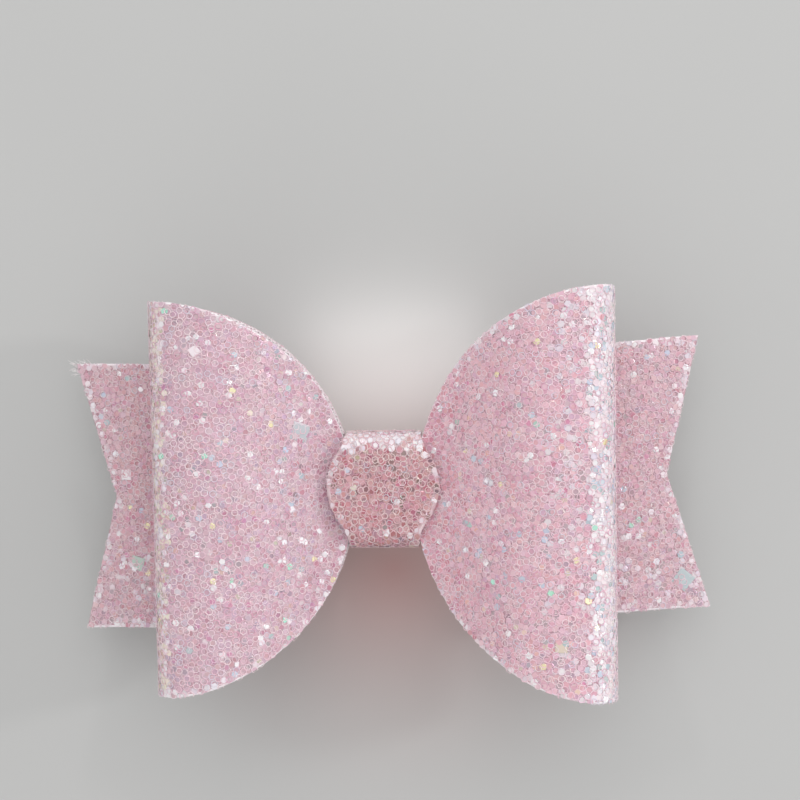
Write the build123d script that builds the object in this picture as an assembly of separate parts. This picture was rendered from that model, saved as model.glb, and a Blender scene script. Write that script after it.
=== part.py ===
"""Glitter hair bow on a sprung alligator clip.

The bow lies face up. +X runs along its width, +Y along its height and +Z out of its face.
The origin is the bottom centre of its bounding box. All lengths are in millimetres.
"""
from build123d import *
import math
import os

# Sheet stock: hexagonal flakes in clear resin, on a woven canvas backing
FACE = 0.6
BACKING = 0.5
GLUE = 0.3

# Loop strip: a lobe each side of the neck, folded over so that its two ends lap behind the neck
LOBE_FOLD_X = 31.9
LOBE_HALF_LENGTH = 27.6
LOBE_HALF_HEIGHT = 28.25
NECK_HALF_HEIGHT = 6.1
NECK_HALF_LENGTH = 8.5
NECK_Y = 0.8
STRIP_END_X = 4.6
CREST_X = 21.5
CREST_RISE = 9.0
FOLD_TOP_RISE = 6.9
FOLD_BOTTOM_Z = 12.6
BACK_BEND_X = 6.5
NECK_RADIUS = 8.0
CREST_RADIUS = 14.0
FOLD_RADIUS = 4.6
BACK_RADIUS = 6.0

# Tail strip: flat across the back, drooping to a notched end each side
TAIL_HALF_LENGTH = 45.0
TAIL_HALF_HEIGHT = 19.6
TAIL_SHOULDER_X = 24.0
TAIL_SHOULDER_HALF_HEIGHT = 19.2
TAIL_WAIST_X = 5.5
TAIL_NOTCH = 5.5
TAIL_DROOP_X = 25.0
TAIL_DROOP = 3.9
TAIL_DROOP_RADIUS = 40.0
TAIL_TURN = 1.8

# Knot strip: wraps the neck and the clip's upper arm, and is widest across its front
KNOT_HALF_HEIGHT = 8.15
KNOT_END_HALF_WIDTH = 4.6
KNOT_END_Y = 5.0
KNOT_TOP_HALF_WIDTH = 5.1
KNOT_HALF_WIDTH = 7.65
KNOT_FLARE = 0.1
KNOT_FRONT_RADIUS = 2.3
KNOT_BACK_RADIUS = 1.5
WRAP_SLACK = 0.1

# Alligator clip
ARM_Z = 9.6
STEEL = 0.6
ARM_TAIL_X = -21.5
NOSE_X = 23.0
ARM_TAIL_HALF_WIDTH = 3.2
ARM_HALF_WIDTH = 3.5
ARM_NOSE_HALF_WIDTH = 2.3
LEVER_TILT = 17.0
HINGE_X = -9.0
HINGE_Z = 6.6
EAR = 0.5
EAR_RADIUS = 1.5
EAR_HALF_WIDTH = 2.0
EAR_GAP = 0.2
JAW_BEND_Z = 4.1
JAW_NOSE_HALF_WIDTH = 2.2
JAW_BEND_RADIUS = 15.0
JAW_CLEARANCE = 0.05
TOOTH_COUNT = 7
TOOTH_PITCH = 1.5
TOOTH_FIRST_X = 11.5
TOOTH_HEIGHT = 0.9
TOOTH_INNER_Y = 1.5
TOOTH_WIDTH = 0.5
PIN_RADIUS = 0.75
PIN_HEAD_RADIUS = 1.2
PIN_HEAD = 0.35
TIGHT_FIT = 0.02
RUNNING_FIT = 0.06
WIRE_RADIUS = 0.35
COIL_RADIUS = 1.65
COIL_PITCH = 0.8
COIL_TURNS = 3.5
SPRING_LEG = 8.6
UPPER_LEG_TILT = 6.4

# Grosgrain ribbon that lines the clip's upper arm
RIBBON = 0.4
RIBBON_WIDTH = 10.0
RIBBON_TAIL_X = -21.0
RIBBON_RETURN_X = 6.2

# Glue dabs: length along X and height along Y
CLIP_DAB = (30.0, 6.0)
NECK_DAB = (8.4, 10.0)
KNOT_DAB = (7.4, 10.0)
WRAP_DAB = (7.4, 8.0)
DAB_CORNER = 2.0

# Half extent of the blocks that the sheets are cut from
REACH = 60.0

# The stack at the neck: each level is the plane between a sheet's face and its backing
RIBBON_TOP = ARM_Z + STEEL + RIBBON
TAIL_LEVEL = RIBBON_TOP + GLUE + BACKING
LOOP_END_LEVEL = TAIL_LEVEL + FACE + GLUE + FACE
LOOP_LAP_LEVEL = LOOP_END_LEVEL + BACKING + GLUE + FACE
NECK_LEVEL = LOOP_LAP_LEVEL + BACKING + GLUE + BACKING
KNOT_LEVEL = NECK_LEVEL + FACE + GLUE + BACKING
WRAP_END_LEVEL = ARM_Z - WRAP_SLACK - BACKING
WRAP_LAP_LEVEL = WRAP_END_LEVEL - FACE - GLUE - BACKING

# The jaw's straight lines, as the height of the steel's middle plane
LEVER_END_Z = STEEL / 2 * math.cos(math.radians(LEVER_TILT))
JAW_BEND_X = ARM_TAIL_X + (JAW_BEND_Z - LEVER_END_Z) / math.tan(math.radians(LEVER_TILT))
JAW_NOSE_Z = ARM_Z - RIBBON - JAW_CLEARANCE - STEEL / 2


def band(path, side, thickness):
    """The flat outline of one ply that lies on one side of a path.

    offset() names a wound path's sides by where the whole offset line ends up, so the outside is
    RIGHT for the loop strip, LEFT for the knot strip and, seen from above, LEFT for the tail.
    """
    return make_face(offset(path, amount=thickness, side=side, closed=True).edges())


def plan_block(outline, low=-REACH, high=REACH):
    """An outline in plan, as an upright block."""
    return Pos(0, 0, low) * extrude(outline, amount=high - low)


def loop_path():
    """The loop strip seen from its open side, from one lapped end round to the other."""
    fold_x = LOBE_FOLD_X - FACE
    crest = NECK_LEVEL + CREST_RISE
    fold_top = NECK_LEVEL + FOLD_TOP_RISE
    points = [
        (STRIP_END_X, LOOP_END_LEVEL),
        (-BACK_BEND_X, LOOP_END_LEVEL),
        (-fold_x, FOLD_BOTTOM_Z),
        (-fold_x, fold_top),
        (-CREST_X, crest),
        (-NECK_HALF_LENGTH, NECK_LEVEL),
        (NECK_HALF_LENGTH, NECK_LEVEL),
        (CREST_X, crest),
        (fold_x, fold_top),
        (fold_x, FOLD_BOTTOM_Z),
        (BACK_BEND_X, LOOP_LAP_LEVEL),
        (-STRIP_END_X, LOOP_LAP_LEVEL),
    ]
    half = [BACK_RADIUS, FOLD_RADIUS, FOLD_RADIUS, CREST_RADIUS, NECK_RADIUS]
    return FilletPolyline(*points, radius=half + half[::-1])


def loop_outline():
    """Two lobes joined by the straight-sided neck, in plan."""
    lobe = Ellipse(LOBE_HALF_LENGTH, LOBE_HALF_HEIGHT)
    neck = Rectangle(2 * NECK_HALF_LENGTH, 2 * NECK_HALF_HEIGHT)
    return Pos(LOBE_FOLD_X, 0) * lobe + Pos(-LOBE_FOLD_X, 0) * lobe + Pos(0, NECK_Y) * neck


def loop_ply(side, thickness):
    """One ply of the loop strip: the path's profile, cut to the plan of the lobes."""
    profile = Plane.XZ * band(loop_path(), side, thickness)
    return extrude(profile, amount=REACH, both=True) & plan_block(loop_outline())


def tail_path():
    """The tail strip seen from its edge."""
    low = TAIL_LEVEL - TAIL_DROOP
    points = [
        (-TAIL_HALF_LENGTH, low),
        (-TAIL_DROOP_X, TAIL_LEVEL),
        (TAIL_DROOP_X, TAIL_LEVEL),
        (TAIL_HALF_LENGTH, low),
    ]
    return FilletPolyline(*points, radius=TAIL_DROOP_RADIUS)


def tail_outline():
    """The tail in plan: notched ends, straight shoulders and a waist that fits in the knot."""
    end = Line((TAIL_HALF_LENGTH - TAIL_NOTCH, 0), (TAIL_HALF_LENGTH, TAIL_HALF_HEIGHT))
    shoulder = Line(end @ 1, (TAIL_SHOULDER_X, TAIL_SHOULDER_HALF_HEIGHT))
    waist = Spline(
        shoulder @ 1,
        (TAIL_WAIST_X, NECK_HALF_HEIGHT),
        tangents=[(-1, 0), (-1, 0)],
    )
    middle = Line(waist @ 1, (0, NECK_HALF_HEIGHT))
    quarter = end + shoulder + waist + middle
    upper = quarter + mirror(quarter, Plane.YZ)
    return make_face((upper + mirror(upper, Plane.XZ)).edges())


def tail_ply(side, thickness):
    """One ply of the tail strip, turned a little against the loops as it was glued."""
    profile = Plane.XZ * band(tail_path(), side, thickness)
    ply = extrude(profile, amount=REACH, both=True) & plan_block(tail_outline())
    return Pos(0, NECK_Y, 0) * Rot(0, 0, TAIL_TURN) * ply


def knot_path():
    """The knot strip seen along the bow, from its inner end round to its outer end."""
    side_y = KNOT_HALF_HEIGHT - FACE
    points = [
        (-KNOT_END_Y, WRAP_END_LEVEL),
        (side_y, WRAP_END_LEVEL),
        (side_y, KNOT_LEVEL),
        (-side_y, KNOT_LEVEL),
        (-side_y, WRAP_LAP_LEVEL),
        (KNOT_END_Y, WRAP_LAP_LEVEL),
    ]
    radii = [KNOT_BACK_RADIUS, KNOT_FRONT_RADIUS, KNOT_FRONT_RADIUS, KNOT_BACK_RADIUS]
    return FilletPolyline(*points, radius=radii)


def knot_outline():
    """The knot's front in plan: a rounded bulge between its two narrow bends."""
    edge = Spline(
        (KNOT_END_HALF_WIDTH, -KNOT_HALF_HEIGHT),
        (KNOT_END_HALF_WIDTH + KNOT_FLARE, -0.8 * KNOT_HALF_HEIGHT),
        (0.92 * KNOT_HALF_WIDTH, -0.3 * KNOT_HALF_HEIGHT),
        (KNOT_HALF_WIDTH, 0.1 * KNOT_HALF_HEIGHT),
        (KNOT_TOP_HALF_WIDTH + KNOT_FLARE, 0.8 * KNOT_HALF_HEIGHT),
        (KNOT_TOP_HALF_WIDTH, KNOT_HALF_HEIGHT),
    )
    top = Line(edge @ 1, (0, KNOT_HALF_HEIGHT))
    bottom = Line((0, -KNOT_HALF_HEIGHT), edge @ 0)
    half = top + edge + bottom
    return make_face((half + mirror(half, Plane.YZ)).edges())


def knot_ply(side, thickness):
    """One ply of the knot strip: wide across the front, narrow at the sides and back."""
    profile = Plane.YZ * band(knot_path(), side, thickness)
    front = plan_block(knot_outline(), low=TAIL_LEVEL)
    back = plan_block(Rectangle(2 * KNOT_END_HALF_WIDTH, REACH), high=TAIL_LEVEL)
    ply = extrude(profile, amount=REACH, both=True) & (front + back)
    return Pos(0, NECK_Y, 0) * ply


def glue_dab(size, low, thickness=GLUE):
    """A flattened dab of hot glue between two layers."""
    return Pos(0, NECK_Y, low) * extrude(RectangleRounded(*size, DAB_CORNER), amount=thickness)


def ear(inner_y, plate_z, hole_radius):
    """A pair of ears that reach from a plate to the hinge pin."""
    stem = Rectangle(2 * EAR_HALF_WIDTH, abs(plate_z - HINGE_Z))
    lobe = Circle(EAR_RADIUS)
    shape = Pos(0, (plate_z - HINGE_Z) / 2) * stem + lobe - Circle(hole_radius)
    pair = []
    for side in (-1, 1):
        middle = side * (inner_y + EAR / 2)
        place = Plane.XZ.offset(-NECK_Y - middle) * Pos(HINGE_X, HINGE_Z)
        pair.append(extrude(place * shape, amount=EAR / 2, both=True))
    return pair


def arm_outline(stations, corner):
    """A bar along X in plan, from (x, half width) stations, with rounded ends."""
    upper = [(x, NECK_Y + half) for x, half in stations]
    lower = [(x, NECK_Y - half) for x, half in reversed(stations)]
    radii = [corner] + [0.8] * (len(stations) - 2) + [corner]
    return make_face(FilletPolyline(*upper, *lower, radius=radii + radii, close=True).edges())


def clip_upper_arm():
    """The straight arm under the tail, with the outer pair of hinge ears."""
    stations = [
        (ARM_TAIL_X, ARM_TAIL_HALF_WIDTH),
        (HINGE_X - 2 * EAR_HALF_WIDTH, ARM_HALF_WIDTH),
        (HINGE_X + 2 * EAR_HALF_WIDTH, ARM_HALF_WIDTH),
        (NOSE_X, ARM_NOSE_HALF_WIDTH),
    ]
    arm = Pos(0, 0, ARM_Z) * extrude(arm_outline(stations, 1.5), amount=STEEL)
    for side in ear(ARM_HALF_WIDTH - EAR, ARM_Z + STEEL / 2, PIN_RADIUS + TIGHT_FIT):
        arm += side
    return arm


def jaw_middle_z(x):
    """Height of the jaw's middle plane at x, ahead of its bend."""
    along = (x - JAW_BEND_X) / (NOSE_X - JAW_BEND_X)
    return JAW_BEND_Z + along * (JAW_NOSE_Z - JAW_BEND_Z)


def clip_lower_arm():
    """The lever and toothed jaw in one bent strip, with the inner pair of hinge ears."""
    inner_ear = ARM_HALF_WIDTH - 2 * EAR - EAR_GAP
    ear_half_width = inner_ear + EAR
    path = FilletPolyline(
        (ARM_TAIL_X, LEVER_END_Z),
        (JAW_BEND_X, JAW_BEND_Z),
        (NOSE_X, JAW_NOSE_Z),
        radius=JAW_BEND_RADIUS,
    )
    upper = band(path, Side.LEFT, STEEL / 2)
    lower = band(path, Side.RIGHT, STEEL / 2)
    stations = [
        (ARM_TAIL_X - 0.5, ARM_TAIL_HALF_WIDTH),
        (HINGE_X - 2.2 * EAR_HALF_WIDTH, ARM_TAIL_HALF_WIDTH),
        (HINGE_X - 1.5 * EAR_HALF_WIDTH, ear_half_width),
        (HINGE_X + 1.5 * EAR_HALF_WIDTH, ear_half_width),
        (NOSE_X, JAW_NOSE_HALF_WIDTH),
    ]
    strip = extrude(Plane.XZ * (upper + lower), amount=REACH, both=True)
    arm = strip & plan_block(arm_outline(stations, 1.2))
    for side in ear(inner_ear, JAW_BEND_Z, PIN_RADIUS + RUNNING_FIT):
        arm += side
    for tooth in jaw_teeth():
        arm += tooth
    return arm


def jaw_teeth():
    """Two rows of teeth, which shorten towards the nose where the jaw meets the ribbon."""
    teeth = []
    tip_limit = ARM_Z - RIBBON - JAW_CLEARANCE
    for index in range(TOOTH_COUNT):
        x = TOOTH_FIRST_X + index * TOOTH_PITCH
        root_z = jaw_middle_z(x)
        tip_z = min(root_z + STEEL / 2 + TOOTH_HEIGHT, tip_limit)
        half = 0.45 * TOOTH_PITCH
        outline = Polyline((x - half, root_z), (x + half, root_z), (x, tip_z), close=True)
        for side in (-1, 1):
            middle = NECK_Y + side * (TOOTH_INNER_Y + TOOTH_WIDTH / 2)
            place = Plane.XZ.offset(-middle)
            teeth.append(extrude(place * make_face(outline.edges()), amount=TOOTH_WIDTH / 2, both=True))
    return teeth


def clip_hinge_pin():
    """The pin through both pairs of ears, headed over at each end."""
    place = Plane.XZ.offset(-NECK_Y) * Pos(HINGE_X, HINGE_Z)
    shank_half = ARM_HALF_WIDTH + PIN_HEAD
    pin = extrude(place * Circle(PIN_RADIUS), amount=shank_half, both=True)
    heads = extrude(place * Circle(PIN_HEAD_RADIUS), amount=shank_half, both=True)
    between = extrude(place * Circle(2 * PIN_HEAD_RADIUS), amount=ARM_HALF_WIDTH + TIGHT_FIT, both=True)
    return pin + (heads - between)


def clip_torsion_spring():
    """A coil round the hinge pin whose two straight legs push the levers apart."""
    turns = COIL_TURNS - (UPPER_LEG_TILT + LEVER_TILT) / 360
    height = COIL_PITCH * turns
    tilt = math.radians(UPPER_LEG_TILT)
    coil_plane = Plane(
        origin=(HINGE_X, NECK_Y - height / 2, HINGE_Z),
        x_dir=(math.sin(tilt), 0, math.cos(tilt)),
        z_dir=(0, 1, 0),
    )
    coil = coil_plane * Helix(COIL_PITCH, height, COIL_RADIUS)
    upper_leg = Line(coil @ 0 - coil % 0 * SPRING_LEG, coil @ 0)
    lower_leg = Line(coil @ 1, coil @ 1 + coil % 1 * SPRING_LEG)
    wire = Wire([upper_leg.edge(), coil.edge(), lower_leg.edge()])
    return sweep(Plane(origin=wire @ 0, z_dir=wire % 0) * Circle(WIRE_RADIUS), path=wire)


def clip_ribbon_lining():
    """Ribbon over the upper arm, folded round its nose and back along its underside."""
    top = ARM_Z + STEEL + RIBBON / 2
    bottom = ARM_Z - RIBBON / 2
    fold_x = NOSE_X + RIBBON / 2 + TIGHT_FIT
    points = [(RIBBON_TAIL_X, top), (fold_x, top), (fold_x, bottom), (RIBBON_RETURN_X, bottom)]
    path = FilletPolyline(*points, radius=RIBBON / 2 + TIGHT_FIT)
    profile = band(path, Side.LEFT, RIBBON / 2) + band(path, Side.RIGHT, RIBBON / 2)
    return Pos(0, NECK_Y, 0) * extrude(Plane.XZ * profile, amount=RIBBON_WIDTH / 2, both=True)


NODES = {
    "loop_glitter_face": loop_ply(Side.RIGHT, FACE),
    "loop_canvas_backing": loop_ply(Side.LEFT, BACKING),
    "tail_glitter_face": tail_ply(Side.LEFT, FACE),
    "tail_canvas_backing": tail_ply(Side.RIGHT, BACKING),
    "knot_glitter_face": knot_ply(Side.LEFT, FACE),
    "knot_canvas_backing": knot_ply(Side.RIGHT, BACKING),
    "clip_upper_arm": clip_upper_arm(),
    "clip_lower_arm": clip_lower_arm(),
    "clip_hinge_pin": clip_hinge_pin(),
    "clip_torsion_spring": clip_torsion_spring(),
    "clip_ribbon_lining": clip_ribbon_lining(),
    "clip_glue": glue_dab(CLIP_DAB, RIBBON_TOP),
    "tail_glue": glue_dab(NECK_DAB, TAIL_LEVEL + FACE),
    "loop_end_glue": glue_dab(NECK_DAB, LOOP_END_LEVEL + BACKING),
    "neck_glue": glue_dab(NECK_DAB, LOOP_LAP_LEVEL + BACKING),
    "knot_glue": glue_dab(KNOT_DAB, NECK_LEVEL + FACE),
    "wrap_end_glue": glue_dab(WRAP_DAB, WRAP_LAP_LEVEL + BACKING),
}

os.makedirs("parts", exist_ok=True)
for name, solid in NODES.items():
    export_step(solid, f"parts/{name}.step")

print("cut length of the loop strip", round(loop_path().length, 1))
print("cut length of the tail strip", round(tail_path().length, 1))
print("cut length of the knot strip", round(knot_path().length, 1))
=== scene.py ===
"""Looks of a glitter hair bow on a sprung alligator clip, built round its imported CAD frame.

The bow lies face up: +X along its width, +Y along its height, +Z out of its face.
Sheets are worked out in millimetres, as the CAD is, and scaled to metres as they become meshes.
"""

import math

import bpy
import numpy as np
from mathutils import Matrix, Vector


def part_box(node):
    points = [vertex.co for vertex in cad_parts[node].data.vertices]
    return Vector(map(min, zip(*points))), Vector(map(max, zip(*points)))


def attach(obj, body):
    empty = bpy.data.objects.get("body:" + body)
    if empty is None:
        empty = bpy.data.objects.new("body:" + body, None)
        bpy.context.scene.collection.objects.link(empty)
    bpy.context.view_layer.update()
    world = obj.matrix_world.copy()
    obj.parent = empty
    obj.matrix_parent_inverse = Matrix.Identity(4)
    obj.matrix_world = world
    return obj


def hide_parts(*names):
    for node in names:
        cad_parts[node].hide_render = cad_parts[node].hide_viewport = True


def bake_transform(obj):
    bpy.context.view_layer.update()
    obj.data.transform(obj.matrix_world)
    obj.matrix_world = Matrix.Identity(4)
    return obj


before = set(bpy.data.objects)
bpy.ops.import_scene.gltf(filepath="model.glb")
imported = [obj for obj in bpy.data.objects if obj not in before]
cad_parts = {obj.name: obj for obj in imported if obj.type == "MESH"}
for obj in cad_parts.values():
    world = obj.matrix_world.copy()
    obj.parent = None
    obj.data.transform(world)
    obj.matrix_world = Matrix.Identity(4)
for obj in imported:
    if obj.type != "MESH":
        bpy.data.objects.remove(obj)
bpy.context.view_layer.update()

MM = 0.001

# Camera: straight over the bow, a little to the right and tipped
CAMERA_PLACE = (18.9, 15.2, 229.3)
CAMERA_TURN = (-0.574, 4.407, -0.769)
CAMERA_LENS = 69.3
CAMERA_SENSOR = 36.0
CAMERA_CLIP = 0.005

# Sheet stock, its plies and their cut edges
FACE = 0.6
BACKING = 0.5
RESIN = 0.45
CANVAS_TOP = -0.005
EDGE_RAGGED = 0.03
EDGE_BAND = 0.3
EDGE_WAVE = 2.6
EDGE_FULLNESS = 0.7
EDGE_EASE = 0.25
SURFACE_WAVE = 1.3
# A strip's length over the distance from its end at which its width is taken
WIDTH_DIVISOR = 4.3

# The glitter sheets. flat is the cut's width and length in metres, area the shaped cut's in square
# metres. canvas and resin are each ply's grid spacing, columns, distance inside the cut edge and
# roughness. resin_colours are pale and deep, edge_colours tinted and pale. contrast is how much of
# the difference between the flakes' tones is left. seeds are for flakes, threads and clear flakes.
SHEETS = {
    "loop": {
        "flat": (0.0565, 0.152),
        "area": 0.00616,
        "held": "folded",
        "rests_on": "tail_canvas",
        "canvas": (0.5, 40, 0.1, 0.015),
        "resin": (0.4, 58, 0.02, 0.02),
        "resin_colours": ((215, 177, 189), (200, 155, 169)),
        "edge_colours": ((226, 200, 209), (250, 244, 247)),
        "contrast": 0.8,
        "sparks": 0.045,
        "grey_shift": 0.0,
        "clear_spacing": 0.76,
        "threads": 340,
        "seeds": (101, 102, 103),
    },
    "tail": {
        "flat": (0.0392, 0.0907),
        "area": 0.00253,
        "held": "laid",
        "rests_on": "ribbon",
        "canvas": (0.5, 34, 0.1, 0.015),
        "resin": (0.4, 50, 0.02, 0.02),
        "resin_colours": ((206, 166, 177), (192, 148, 160)),
        "edge_colours": ((224, 196, 205), (246, 238, 242)),
        "contrast": 0.7,
        "sparks": 0.03,
        "grey_shift": 0.0,
        "clear_spacing": 0.76,
        "threads": 150,
        "seeds": (201, 202, 205),
    },
    "knot": {
        "flat": (0.0153, 0.0543),
        "area": 0.00057,
        "held": "folded",
        "rests_on": "loop_canvas",
        "canvas": (0.35, 16, 0.08, 0.01),
        "resin": (0.3, 34, 0.02, 0.02),
        "resin_colours": ((190, 144, 150), (168, 118, 126)),
        "edge_colours": ((206, 170, 176), (232, 210, 214)),
        "contrast": 1.0,
        "sparks": 0.007,
        "grey_shift": 0.2,
        "clear_spacing": 0.68,
        "threads": 60,
        "seeds": (301, 302, 303),
    },
}

# Loop strip
LOBE_FOLD_X = 31.9
LOBE_HALF_LENGTH = 27.6
LOBE_HALF_HEIGHT = 28.25
NECK_HALF_HEIGHT = 6.1
NECK_HALF_LENGTH = 8.5
STRIP_END_X = 4.6
CREST_X = 21.5
CREST_RISE = 9.0
FOLD_TOP_RISE = 6.9
FOLD_BOTTOM_Z = 12.6
BACK_BEND_X = 6.5
NECK_RADIUS = 8.0
CREST_RADIUS = 14.0
FOLD_RADIUS = 4.6
BACK_RADIUS = 6.0
RIGHT_LOBE_LIFT = 0.08
LEFT_LOBE_LIFT = -0.06
# Each lobe as it was cut by hand: how much of the drawn height, how far up, how far its fold leans
LEFT_LOBE_CUT = (0.962, 0.1, 0.0004)
RIGHT_LOBE_CUT = (0.99, 0.5, 0.00014)
LOBE_WAVE = 0.16
LOBE_WAVELENGTH = 17.0
LOBE_HIGHLIGHT_X = 28.8
LIFT_BLEND = 4.0

# Tail strip
TAIL_HALF_LENGTH = 45.0
TAIL_HALF_HEIGHT = 19.6
TAIL_SHOULDER_X = 24.0
TAIL_SHOULDER_HALF_HEIGHT = 19.2
TAIL_WAIST_X = 5.5
TAIL_NOTCH = 5.5
TAIL_DROOP_X = 25.0
TAIL_DROOP = 3.9
TAIL_DROOP_RADIUS = 40.0
TAIL_TURN = 1.8
TAIL_CUT_SHARE = 0.985
TAIL_CUT_RISE = 0.4
TAIL_WAVE = 0.35
TAIL_WAVELENGTH = 30.0
TAIL_END_X = 30.0
TAIL_END_BLEND = 14.0

# Knot strip
KNOT_HALF_HEIGHT = 8.15
KNOT_END_HALF_WIDTH = 4.6
KNOT_END_Y = 5.0
KNOT_FRONT_RADIUS = 2.3
KNOT_BACK_RADIUS = 1.5
# The knot's outline from low to high: height from its middle and half width there
KNOT_FRONT_STATIONS = (
    (-8.15, 4.7),
    (-6.5, 4.9),
    (-5.0, 5.6),
    (-3.5, 6.7),
    (-1.8, 7.5),
    (0.0, 7.85),
    (1.8, 7.8),
    (3.6, 7.3),
    (5.2, 6.4),
    (6.5, 5.4),
    (8.15, 5.2),
)
KNOT_SOFTENING = 0.9
KNOT_WIDENING = 1.5
KNOT_DOME = 0.35
KNOT_DOME_HALF_WIDTH = 8.2
KNOT_DOME_DEPTH = 2.2
KNOT_DOME_BLEND = 1.6
KNOT_WAVE = 0.06
KNOT_WAVELENGTH = 7.0
KNOT_HIGHLIGHT_RISE = 5.7
# Part of the glued stack that the knot hides, where the loops need no flakes
HIDDEN_HALF_WIDTH = 3.9
HIDDEN_HALF_HEIGHT = 7.0

# Clip
HINGE_X = -9.0
HINGE_Z = 6.6
WIRE_RADIUS = 0.35
COIL_RADIUS = 1.65
COIL_PITCH = 0.8
COIL_TURNS = 3.5
SPRING_LEG = 8.6
UPPER_LEG_TILT = 6.4
LEVER_TILT = 17.0
COIL_POINTS = 160
LEG_POINTS = 14
WIRE_SIDES = 12
WIRE_GUIDE = (0.02, 1.0, 0.03)
WELD_REACH = 0.000002
SOFT_EDGE = 0.00007
# Colour and roughness of each steel
STEELS = {
    "nickel": ((210, 209, 208), 0.22),
    "pin_steel": ((190, 189, 188), 0.2),
    "spring_wire": ((158, 158, 160), 0.3),
}

# Ribbon and glue
RIBBON = 0.4
RIBBON_WIDTH = 10.0
RIBBON_COLUMNS = 9
RIBBON_RETURN_X = 6.2
RIBBON_FOLD_RADIUS = 0.22
RIB_PITCH = 0.62
RIB_HEIGHT = 0.05
RIB_STEPS = 6
SCALLOP = 0.05
SELVEDGE_FINE = 0.012
SELVEDGE_SHARE = 0.03
SELVEDGE_FULLNESS = 0.75
DAB_SIDES = 72
DAB_ROWS = 13
DAB_SQUARENESS = 4
DAB_SIZE = 0.93
DAB_WANDER = 0.06
DAB_WAVE = 2.2
DAB_SLOPE = 1.6
FIRST_DAB_SEED = 50
GLUE_NODES = (
    "clip_glue",
    "tail_glue",
    "loop_end_glue",
    "neck_glue",
    "knot_glue",
    "wrap_end_glue",
)

# Flakes
FLAKE_SIDES = 6
FLAKE_RADIUS = 0.5
FLAKE_SPACING = 0.63
FLAKE_THICKNESS = 0.03
FLAKE_SIZES = (0.9, 1.05)
FLAKE_TILT = 4.0
SPARK_TILT = 14.0
SPARK_LEAST_TILT = 0.2
FLAKE_LOW = 0.44
FLAKE_HIGH = 0.54
FLAKE_MARGIN = 0.1
FLAKE_TRIM = 0.03
PALE_EDGE = 0.95
PALE_EDGE_SHARE = 0.8
CLEAR_LOW = 0.55
CLEAR_HIGH = 0.62
CLEAR_SIZES = (0.95, 1.1)
CLEAR_TILT = 7.0
CLEAR_OVERHANG = 0.12
# Share of the radius and rise of each ring of a flake's corners
FLAKE_PROFILE = ((1.0, 0.0), (0.8, FLAKE_THICKNESS))
CLEAR_PROFILE = ((1.0, 0.0), (0.9, FLAKE_THICKNESS), (0.78, 0.0))
PATCH_SIZE = 13.0
PATCH_STRENGTH = 0.8
PATCH_SWING = 0.9
EDGE_SAMPLES = 400
TRIES_PER_SPOT = 9
BRIGHT_RIMS = 0.5

# Larger flakes that lie here and there: x and y in plan, radius and tone
LARGE_FLAKES = {
    "loop": (
        (-11.6, 9.3, 1.85, "frost"),
        (-24.6, 21.0, 0.95, "white"),
        (24.2, -20.3, 1.1, "pale_green"),
        (14.5, 3.0, 0.85, "grey_lilac"),
    ),
    "tail": (
        (-36.8, -10.0, 1.4, "mint"),
        (-32.6, -13.8, 0.8, "mint"),
        (-37.9, 3.1, 1.1, "white"),
        (41.2, -15.4, 1.75, "frost"),
    ),
}
LARGE_FLAKE_HEIGHT = 0.54
LARGE_FLAKE_TILT = 0.05
LARGE_FLAKE_SIDES = 4
FRONT_SAMPLES = 4000
FRONT_SLACK = 0.1

# Resin and canvas; the resin's pale painted highlights blend in over this many metres
BURIED_FLAKES_PER_METRE = 1150.0
BURIED_RIM = 0.14
BURIED_RIM_COLOUR = (240, 240, 240)
RESIN_HIGHLIGHT = (242, 229, 233)
HIGHLIGHT_BLEND = 0.0012
WEAVE_SCALE = 600.0

# Floor, surroundings and lights: name, place in metres, size in metres, power in watts, colour
FLOOR_SIZE = 40.0
FLOOR_DARK = (190, 190, 189)
FLOOR_PALE = (194, 194, 193)
HORIZON_STRENGTH = 1.05
ZENITH_STRENGTH = 0.6
BRIGHT_SIDE = (0.85, -0.53, 0.0)
FAR_SHARE = 0.92
NEAR_SHARE = 1.18
LIGHT_AIM = (0, 0, 0.015)
LIGHTS = (
    ("window", (0.12, 0.52, 0.75), 0.85, 2.0, (1.0, 1.0, 1.0)),
    ("glint", (0.50, 0.12, 0.30), 0.06, 0.5, (1.0, 1.0, 1.0)),
    ("upper_glint", (0.05, 0.60, 0.22), 0.05, 0.4, (1.0, 1.0, 1.0)),
)
# Light that the bow throws on the floor beside the knot: y in metres, size, power, colour
BOUNCE_LEVEL = 0.0085
BOUNCES = (
    ("bounce_low", -0.012, (0.024, 0.018), 0.0002, (1.0, 0.72, 0.70)),
    ("bounce_high", 0.018, (0.024, 0.018), 0.0013, (1.0, 0.95, 0.94)),
)
# Pink shadow painted on the floor under the bow: its colour, the y of its middle in metres and its reach
PAINTED_SHADOW_COLOUR = (191, 160, 157)
PAINTED_SHADOW_Y = -0.012
PAINTED_SHADOW_REACH = (0.044, 0.042, 1.0)

# Loose threads: least and most of their reach, drift and rise, then of their height
THREAD_REACHES = ((0.28, -0.5, -0.15), (0.5, 0.5, 0.15))
THREAD_HEIGHTS = (-0.45, -0.05)
THREAD_RADIUS = 0.025
THREAD_STEPS = 5
THREAD_MARGIN = 0.5
THREAD_ROOT = 0.25
THREAD_TAPER = 0.45
THREAD_GUIDE = (0.31, 0.17, 0.93)
END_THREADS = 90
END_SPREAD = 0.97
END_THREAD_SEED = 203
TUFT_THREADS = 70
TUFT_STEPS = 8
TUFT_PLACES = ((0.1, -1.7), (2.2, -0.1))
TUFT_REACHES = ((0.5, -0.3, -0.3), (1.9, 0.9, 0.7))
TUFT_CURL = 0.5
TUFT_RADIUS = 0.05
TUFT_SEED = 204

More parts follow.
